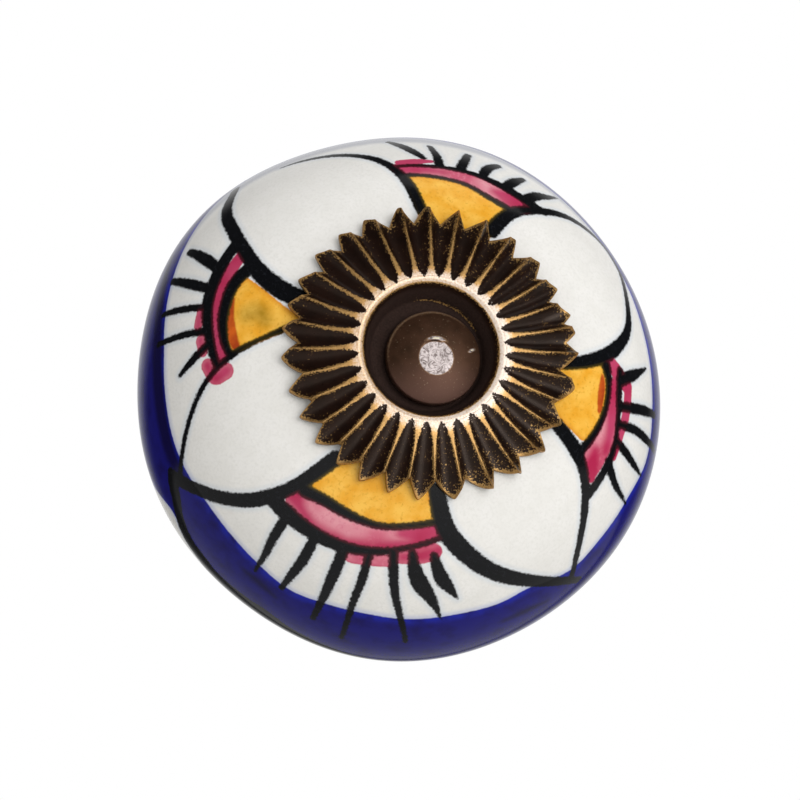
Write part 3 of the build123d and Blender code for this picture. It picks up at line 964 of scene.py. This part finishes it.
def domed_bolt(material):
    """Bolt of revolution: a dome ground flat on top, an upright edge, a shank, and a thread cut into the
    shank's end by the thread form."""
    columns = 144
    angle = angles(columns)
    dome_foot = dish_floor_height + head_edge
    dome_rise = head_top - dome_foot
    dome_below = (head_radius**2 - head_flat_radius**2 - dome_rise**2) / (2 * dome_rise)
    dome = arc(
        (0.0, dome_foot - dome_below),
        hypot(head_radius, dome_below),
        atan2(dome_below + dome_rise, head_flat_radius),
        atan2(dome_below, head_radius),
        26,
    )
    flat = run((0, head_top), (head_flat_radius, head_top), 8)
    edge = rounded([
        (*dome[-2], 0),
        (head_radius, dome_foot, head_edge_round),
        (head_radius, dish_floor_height, head_edge_round),
        (shank_radius, dish_floor_height, 0),
    ])
    thread_top = bolt_end + thread_length
    rows_a_pitch = 8
    shank_end, thread_start = thread_top + 0.6, thread_top + 0.4
    profile = np.vstack([[(0, head_top)], flat, dome[:-2], edge, [(shank_radius, shank_end)]])

    rows = int(thread_length / thread_pitch * rows_a_pitch)
    height = np.linspace(thread_start, bolt_end, rows)[:, None]
    cut_in = ramp(height, thread_top, thread_top - 2 * thread_pitch)
    thread_rise = bolt_radius - shank_radius - thread_depth * thread_groove(height, angle)
    radius = shank_radius + thread_rise * cut_in
    radius = np.minimum(radius, bolt_radius - tail_chamfer + (height - bolt_end))
    tip = turned(np.array([(0.0, bolt_end)]), columns)
    grid = np.concatenate([turned(profile, columns), around(radius, height, angle), tip])

    # The head sits a little to one side in its loose hole
    head = slice(0, 1 + len(flat) + len(dome) - 2 + len(edge) - 1)
    grid[head] += head_shift

    # Ground spot on the dome, a sickle of painted highlight above it with a painted shadow line under it, a
    # fresh chip, and an arc of painted highlight along the rim
    across, up = grid[..., 0] - head_shift[0], grid[..., 2] - head_shift[2]
    spot_across, spot_up, spot_radius = 0.06, -0.2, 1.28
    burr_shadow_radius, sickle_highlight_radius, rim_highlight_radius = 1.33, 1.5, 3.42
    chip_across, chip_up, chip_slope = 2.82, 0.6, 0.5
    chip_rise = up - chip_slope * (across - chip_across)
    from_spot = np.hypot(across - spot_across, up - spot_up)
    above_spot = bell(np.arctan2(up - spot_up, across - spot_across), 1.55, 0.42)
    spot = np.clip((spot_radius - from_spot) / 0.14 + 0.5, 0, 1)
    # Painted highlight in a sickle above the spot, and a thin painted shadow line under it
    sickle_highlight = 1.7 * bell(from_spot, sickle_highlight_radius, 0.12) * above_spot
    burr_shadow = 1.6 * bell(from_spot, burr_shadow_radius, 0.05) * above_spot
    chip = 2.2 * bell(across, chip_across, 0.24) * bell(chip_rise, chip_up, 0.08)
    rim_highlight_turn = turn_from(np.arctan2(up, across), radians(115))
    # Painted highlight along an arc of the rim at the upper left
    rim = 0.45 * bell(np.hypot(across, up), rim_highlight_radius, 0.12) * bell(rim_highlight_turn, 0, 1.2, 4)
    on_top = grid[..., 1] < -(dish_floor_height + head_edge / 2)
    # The ground layer holds the spot and the chip, and also the painted highlights and the painted shadow
    # line
    ground = np.where(on_top, np.maximum.reduce([spot, sickle_highlight, chip, rim]) - burr_shadow, 0)
    add_piece("domed_bolt", grid, material, "through_bolt", layers={"ground": ground}, crease=50)


def flared_collar(material):
    """Spun collar of one wall: web, stem, flare and flange as a loop of revolution."""
    columns = 240
    flare_radius = collar_stem_radius + collar_flare_radius
    flare_top = collar_wall + collar_flare_radius
    inner_stem = collar_stem_radius - collar_wall
    web = collar_height - collar_wall
    top = rounded([
        (inner_stem, flare_top, 0),
        (inner_stem, web, fine_round),
        (collar_hole_radius, web, fine_round),
        (collar_hole_radius, collar_height, fine_round),
        (collar_stem_radius, collar_height, collar_round),
        (collar_stem_radius, flare_top, 0),
    ])
    outside = arc((flare_radius, flare_top), collar_flare_radius, pi, 1.5 * pi, 20)
    flange = rounded([
        (*outside[-1], 0),
        (collar_flange_radius, collar_wall, 3 * fine_round),
        (collar_flange_radius, 0, fine_round),
        (flare_radius, 0, 0),
    ])
    inside = arc((flare_radius, flare_top), collar_flare_radius + collar_wall, 1.5 * pi, pi, 16)
    profile = np.vstack([top[:-1], outside[:-1], flange[:-1], inside[:-1]])
    radius, height = profile[:, :1], profile[:, 1:]

    # The flange's edge and the top of the stem are rubbed, with a faint painted highlight on them
    shoulder = bell(height, collar_height, 0.5) * (radius > inner_stem)
    wear = 0.8 * np.maximum(bell(radius, collar_flange_radius, 0.35), 0.8 * shoulder) + 0 * angles(columns)
    layers = {"wear": wear, "painted_highlight": 0.25 * wear, "grime": 0 * wear}
    add_piece("flared_collar", turned(profile, columns), material, "base_collar", loop=True, layers=layers)


def hex_nut(name, base, top, material, node):
    """Hexagon nut: the outside is the smaller of the hexagon's radius at each angle and a bevel cone at each
    height, and the bore has a countersink at both ends and a thread like the bolt's."""
    columns = 240
    angle = angles(columns)
    sixth = FULL_TURN / 6
    corner_worn = 0.04
    flat_turn = (angle + pi / 2 + sixth / 2) % sixth - sixth / 2
    hexagon = np.minimum(nut_face / np.cos(flat_turn), nut_corner - corner_worn)
    bevel = (nut_corner - nut_face) * tan(nut_bevel_angle)
    tall = top - base
    upright = run((bevel,), (tall - bevel,), 4)[:, 0]
    rise = np.concatenate([np.linspace(0, bevel, 7), upright, np.linspace(tall - bevel, tall, 7)])[:, None]
    cone = nut_face - fine_step + np.minimum(rise, tall - rise) / tan(nut_bevel_angle)
    outside = around(np.minimum(hexagon, cone), base + rise, angle)

    sink = 0.35
    groove = 0.12
    rows_a_pitch = 10
    rows = int((tall - 2 * sink) / thread_pitch * rows_a_pitch)
    height = np.linspace(top - sink, base + sink, rows)[:, None]
    bore = around(nut_bore_radius + groove * thread_groove(height, angle), height, angle)
    mouth = nut_bore_radius + sink
    upper = np.array([(mouth + 2 * fine_step, top), (mouth, top), (mouth - fine_step, top - fine_step)])
    lower = np.array([(mouth - fine_step, base + fine_step), (mouth, base), (mouth + 2 * fine_step, base)])
    grid = np.concatenate([outside, turned(upper, columns), bore, turned(lower, columns)])
    add_piece(name, grid, material, node, loop=True, crease=25)


def flat_washer(material):
    """Punched washer of revolution: rounded over on the side that the punch entered, sharp on the other."""
    punched = 0.25
    profile = rounded([
        (washer_hole_radius, washer_base, fine_round),
        (washer_radius, washer_base, punched),
        (washer_radius, washer_top, fine_round),
        (washer_hole_radius, washer_top, fine_round),
    ])
    add_piece("flat_washer", turned(profile, 200), material, "panel_washer", loop=True)


brass = lacquered_brass()
zinc = zinc_plated_steel()
glazed_body(painted_earthenware())
pressed_rosette(brass)
domed_bolt(bronzed_steel())
flared_collar(brass)
hex_nut("hex_lock_nut", lock_nut_base, lock_nut_top, zinc, "lock_nut")
hex_nut("hex_panel_nut", panel_nut_base, panel_nut_top, zinc, "panel_nut")
flat_washer(zinc)


# Stage, in metres: a pale floor well below the knob, two soft lamps and a white surround

def add_floor(level, half, front, back):
    """Plain pale floor that runs from well in front of the knob to a little behind it."""
    corners = [(-half, front, level), (half, front, level), (half, back, level), (-half, back, level)]
    mesh = bpy.data.meshes.new("floor")
    mesh.from_pydata(corners, [], [(0, 1, 2, 3)])
    material, tree, shader = start_material("pale_floor")
    feed(tree, shader, {"Base Color": "#F2F1EE", "Roughness": 0.8})
    mesh.materials.append(material)
    floor = bpy.data.objects.new("floor", mesh)
    bpy.context.scene.collection.objects.link(floor)


def add_softbox(name, place, aim, size, watts):
    """Square area lamp that faces a point."""
    lamp = bpy.data.lights.new(name, "AREA")
    lamp.size = size
    lamp.energy = watts
    softbox = bpy.data.objects.new(name, lamp)
    softbox.location = place
    softbox.rotation_euler = (Vector(aim) - Vector(place)).to_track_quat("-Z", "Y").to_euler()
    bpy.context.scene.collection.objects.link(softbox)


def white_surround(fill, room, backdrop):
    """White where the camera looks, an even fill for diffuse light, and for polished surfaces a bright
    backdrop behind and above the knob that gives way to a dim room on every other side."""
    world = bpy.data.worlds.new("white_surround")
    bpy.context.scene.world = world
    world.use_nodes = True
    tree = world.node_tree
    seen = add(tree, "LightPath", {}, "Is Camera Ray")
    path = seen.node
    direction = add(tree, "TexCoord", {}, "Generated")
    middle = (0.2, 0.87, 0.45)
    facing = add(tree, "VectorMath", {0: direction, 1: middle}, "Value", operation="DOT_PRODUCT")
    height = add(tree, "SeparateXYZ", {"Vector": direction}, "Z")
    behind, above = (
        add(
            tree,
            "MapRange",
            {"Value": value, "From Min": starts, "From Max": full},
            interpolation_type="SMOOTHSTEP",
        )
        for value, starts, full in ((facing, 0.65, 0.95), (height, -0.3, 0))
    )
    shown = add(tree, "Math", {0: behind, 1: above}, operation="MULTIPLY")
    around_knob = add(tree, "MapRange", {"Value": shown, "To Min": room, "To Max": backdrop})
    rays = {0: path.outputs["Is Glossy Ray"], 1: path.outputs["Is Transmission Ray"]}
    polished = add(tree, "Math", rays, operation="MAXIMUM")
    lit = add(tree, "Mix", {0: polished, 2: fill, 3: around_knob}, data_type="FLOAT")
    strength = add(tree, "Mix", {0: seen, 2: lit, 3: 1.0}, data_type="FLOAT")
    feed(tree, tree.nodes["Background"], {"Color": (1, 1, 1, 1), "Strength": strength})


middle_of_knob = (0, -equator_height * MM, 0)
add_floor(level=-0.13, half=0.6, front=-1.2, back=0.42)
add_softbox("key_softbox", place=(0.24, -0.66, 0.05), aim=middle_of_knob, size=0.45, watts=2.5)
add_softbox("top_softbox", place=(0.21, -0.2, 0.65), aim=middle_of_knob, size=0.3, watts=0.25)
white_surround(fill=0.56, room=0.05, backdrop=0.8)


# Camera: in front of the knob, a little to its left and below it. It aims a little to the right of the knob's
# middle and below it, by aside and below in millimetres.

view_azimuth = radians(-11.03)
view_elevation = radians(-13.67)
view_distance = 400.0
frame_width = 60.38
sensor_width = 36.0
aside = 0.136
below = 0.325

toward_camera = Vector((
    sin(view_azimuth) * cos(view_elevation),
    -cos(view_azimuth) * cos(view_elevation),
    sin(view_elevation),
))
camera_right = Vector((cos(view_azimuth), sin(view_azimuth), 0))
camera_up = toward_camera.cross(camera_right)
target = Vector((0, -equator_height, 0)) + aside * camera_right - below * camera_up
lens = bpy.data.cameras.new("camera")
lens.sensor_width = sensor_width
lens.lens = sensor_width * view_distance / frame_width
lens.clip_start = 0.01
camera = bpy.data.objects.new("camera", lens)
axes = Matrix((camera_right, camera_up, toward_camera)).transposed()
camera.matrix_world = Matrix.Translation((target + view_distance * toward_camera) * MM) @ axes.to_4x4()
bpy.context.scene.collection.objects.link(camera)
bpy.context.scene.camera = camera
bpy.context.scene.view_settings.view_transform = "Standard"
